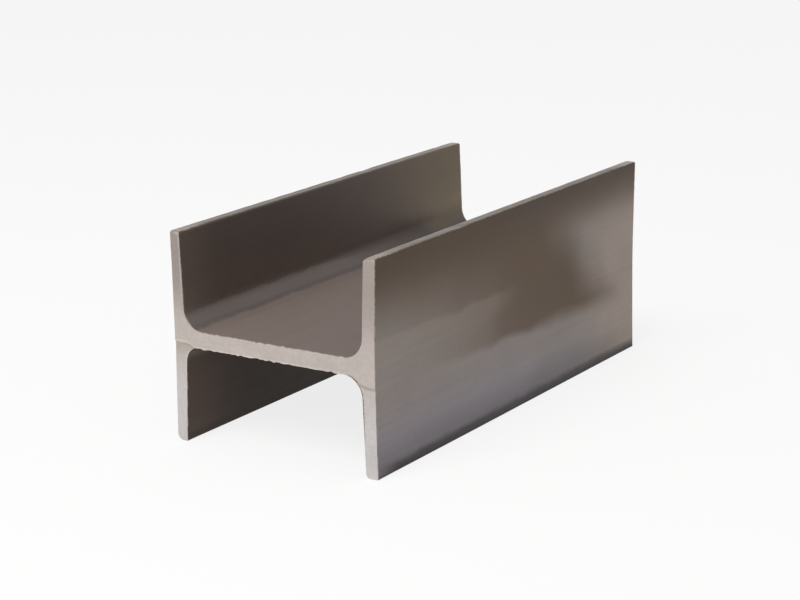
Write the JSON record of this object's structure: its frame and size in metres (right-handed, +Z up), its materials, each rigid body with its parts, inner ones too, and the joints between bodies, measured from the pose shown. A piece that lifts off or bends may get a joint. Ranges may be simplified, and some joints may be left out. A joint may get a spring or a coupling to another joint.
{
  "type": "steel h-beam",
  "caption": "Short sawn length of hot-rolled steel H-beam: two flanges joined by a web, with filleted roots and rounded toes, for carrying load.",
  "frame": {"origin": "on the floor, under the middle of the beam", "axes": "+X across the flanges, +Y along the rolling direction, +Z up, square to the web"},
  "size_m": [0.112, 0.245, 0.1],
  "materials": {
    "mill_scale_steel": "dark hot-rolled mill scale, worn bright along the toes, with pale sawn ends"
  },
  "bodies": {
    "root": {"h_beam": "mill_scale_steel"}
  },
  "joints": []
}
